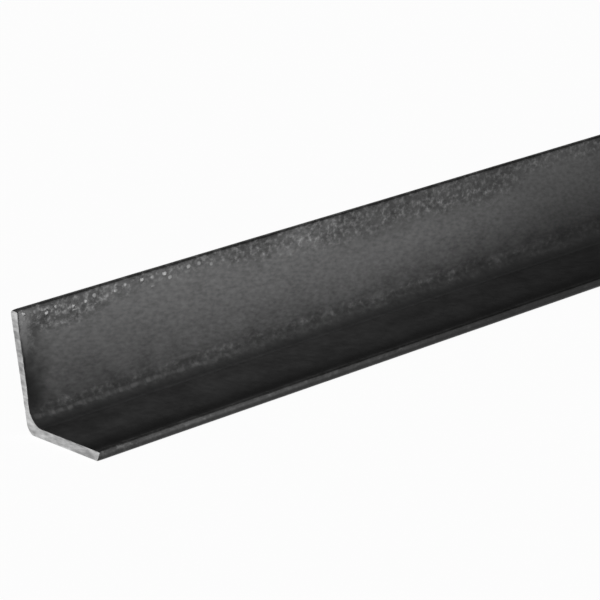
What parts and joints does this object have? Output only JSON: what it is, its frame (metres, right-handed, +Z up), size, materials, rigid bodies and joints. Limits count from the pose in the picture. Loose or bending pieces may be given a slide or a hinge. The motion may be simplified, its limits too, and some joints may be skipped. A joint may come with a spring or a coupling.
{
  "type": "metal angle section",
  "caption": "Bar of hot-rolled equal-leg steel angle with a filleted root, a rounded heel and rounded toes, cut square at its ends.",
  "frame": {"origin": "under the middle of the bar's length and of the lying leg's width, on the underside", "axes": "+X along the bar, +Y towards the upright leg's outer face, +Z up along the upright leg"},
  "size_m": [0.9144, 0.0382, 0.0381],
  "materials": {
    "hot_rolled_steel": "dark mill scale as it leaves the rolls, with bare steel on the sheared ends"
  },
  "bodies": {
    "root": {"steel_angle": "hot_rolled_steel"}
  },
  "joints": []
}
